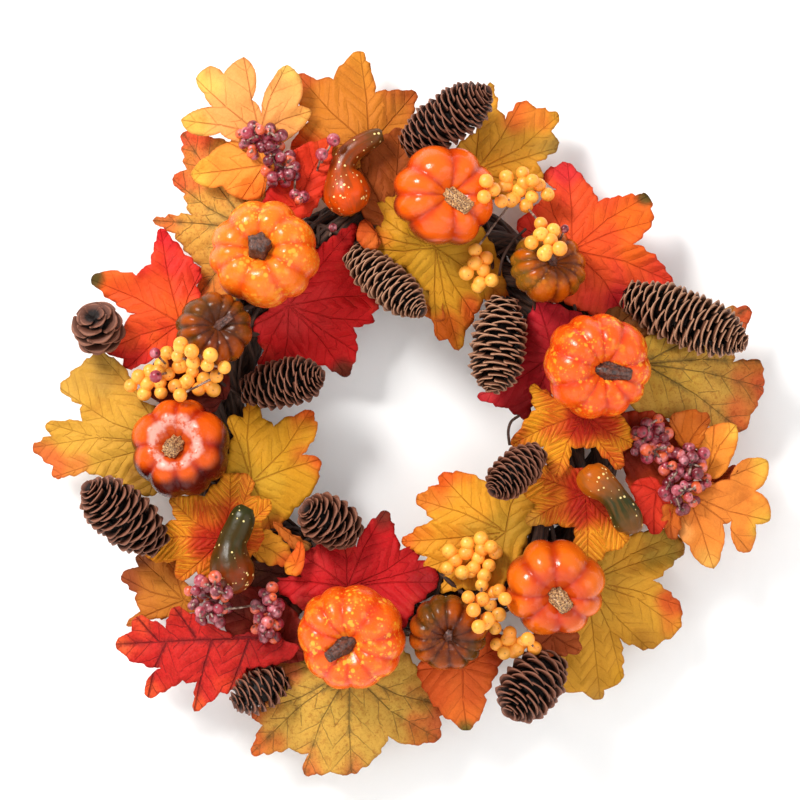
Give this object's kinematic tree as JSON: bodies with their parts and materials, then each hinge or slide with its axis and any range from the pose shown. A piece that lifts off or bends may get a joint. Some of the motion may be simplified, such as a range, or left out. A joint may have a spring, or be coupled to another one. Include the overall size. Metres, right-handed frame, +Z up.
{
  "type": "harvest door wreath",
  "caption": "Round door wreath: a twisted dark vine ring on a wire hanger, covered with autumn cloth leaves, small pumpkins, gourds, pinecones and berry sprays.",
  "frame": {"origin": "hanging point: the inside top of the wire hanger loop, where the nail or hook bears", "axes": "+Z up as the wreath hangs, +Y towards the wall behind it, so the decorated front faces -Y; +X is to the right seen from the front"},
  "size_m": [0.4455, 0.1116, 0.4392],
  "materials": {
    "vine": "dark dry vine",
    "wire": "dark wire",
    "pinecone": "dry pinecone scales with pale edges",
    "pumpkin_orange": "glossy painted foam",
    "pumpkin_brown": "glossy painted foam",
    "gourd": "glossy painted foam",
    "berry_yellow": "satin painted foam",
    "berry_burgundy": "satin painted foam",
    "leaf_crimson": "printed leaf cloth",
    "leaf_red": "printed leaf cloth",
    "leaf_amber": "printed leaf cloth",
    "leaf_orange": "printed leaf cloth",
    "leaf_gold": "printed leaf cloth",
    "leaf_green_gold": "printed leaf cloth"
  },
  "bodies": {
    "wreath": {"burgundy_berries_lower_left": "berry_burgundy", "burgundy_berries_right": "berry_burgundy", "burgundy_berries_upper_left": "berry_burgundy", "gourd_left": "gourd", "gourd_right": "gourd", "gourd_top": "gourd", "hanger_tie": "wire", "leaf_bottom_left_red": "leaf_red", "leaf_bottom_maple": "leaf_green_gold", "leaf_bottom_orange": "leaf_orange", "leaf_far_left_green": "leaf_green_gold", "leaf_inner_bottom_crimson": "leaf_crimson", "leaf_inner_left_crimson": "leaf_crimson", "leaf_inner_left_gold": "leaf_gold", "leaf_inner_lower_right_gold": "leaf_gold", "leaf_inner_right_crimson": "leaf_crimson", "leaf_inner_top_green": "leaf_green_gold", "leaf_left_gold": "leaf_gold", "leaf_left_gold_orange": "leaf_orange", "leaf_left_red": "leaf_red", "leaf_lower_left_amber": "leaf_amber", "leaf_lower_right_gold": "leaf_gold", "leaf_lower_right_green": "leaf_green_gold", "leaf_outer_right_orange": "leaf_orange", "leaf_right_gold": "leaf_gold", "leaf_right_veined": "leaf_amber", "leaf_top_left_amber": "leaf_amber", "leaf_top_right_green": "leaf_green_gold", "leaf_upper_left_orange": "leaf_orange", "leaf_upper_left_veined": "leaf_green_gold", "leaf_upper_right_red": "leaf_red", "mini_pumpkin_bottom": "pumpkin_brown", "mini_pumpkin_left": "pumpkin_brown", "mini_pumpkin_right": "pumpkin_brown", "pinecone_bottom_left": "pinecone", "pinecone_bottom_right": "pinecone", "pinecone_far_left": "pinecone", "pinecone_inner_bottom": "pinecone", "pinecone_inner_left": "pinecone", "pinecone_inner_lower_right": "pinecone", "pinecone_inner_right": "pinecone", "pinecone_inner_top": "pinecone", "pinecone_outer_left": "pinecone", "pinecone_outer_right": "pinecone", "pinecone_top": "pinecone", "pumpkin_bottom": "pumpkin_orange", "pumpkin_left": "pumpkin_orange", "pumpkin_lower_right": "pumpkin_orange", "pumpkin_right": "pumpkin_orange", "pumpkin_top": "pumpkin_orange", "pumpkin_upper_left": "pumpkin_orange", "vine_strand_1": "vine", "vine_strand_2": "vine", "vine_strand_3": "vine", "vine_strand_4": "vine", "yellow_berries_bottom": "berry_yellow", "yellow_berries_left": "berry_yellow", "yellow_berries_top": "berry_yellow"},
    "hanger": {"hanger_loop": "wire"}
  },
  "joints": [
    {"name": "hanger_hinge", "type": "hinge", "parent": "wreath", "child": "hanger", "pos_m": [0, 0, -0.0259], "axis": [-1, 0, 0], "range_deg": [0, 180]}
  ]
}
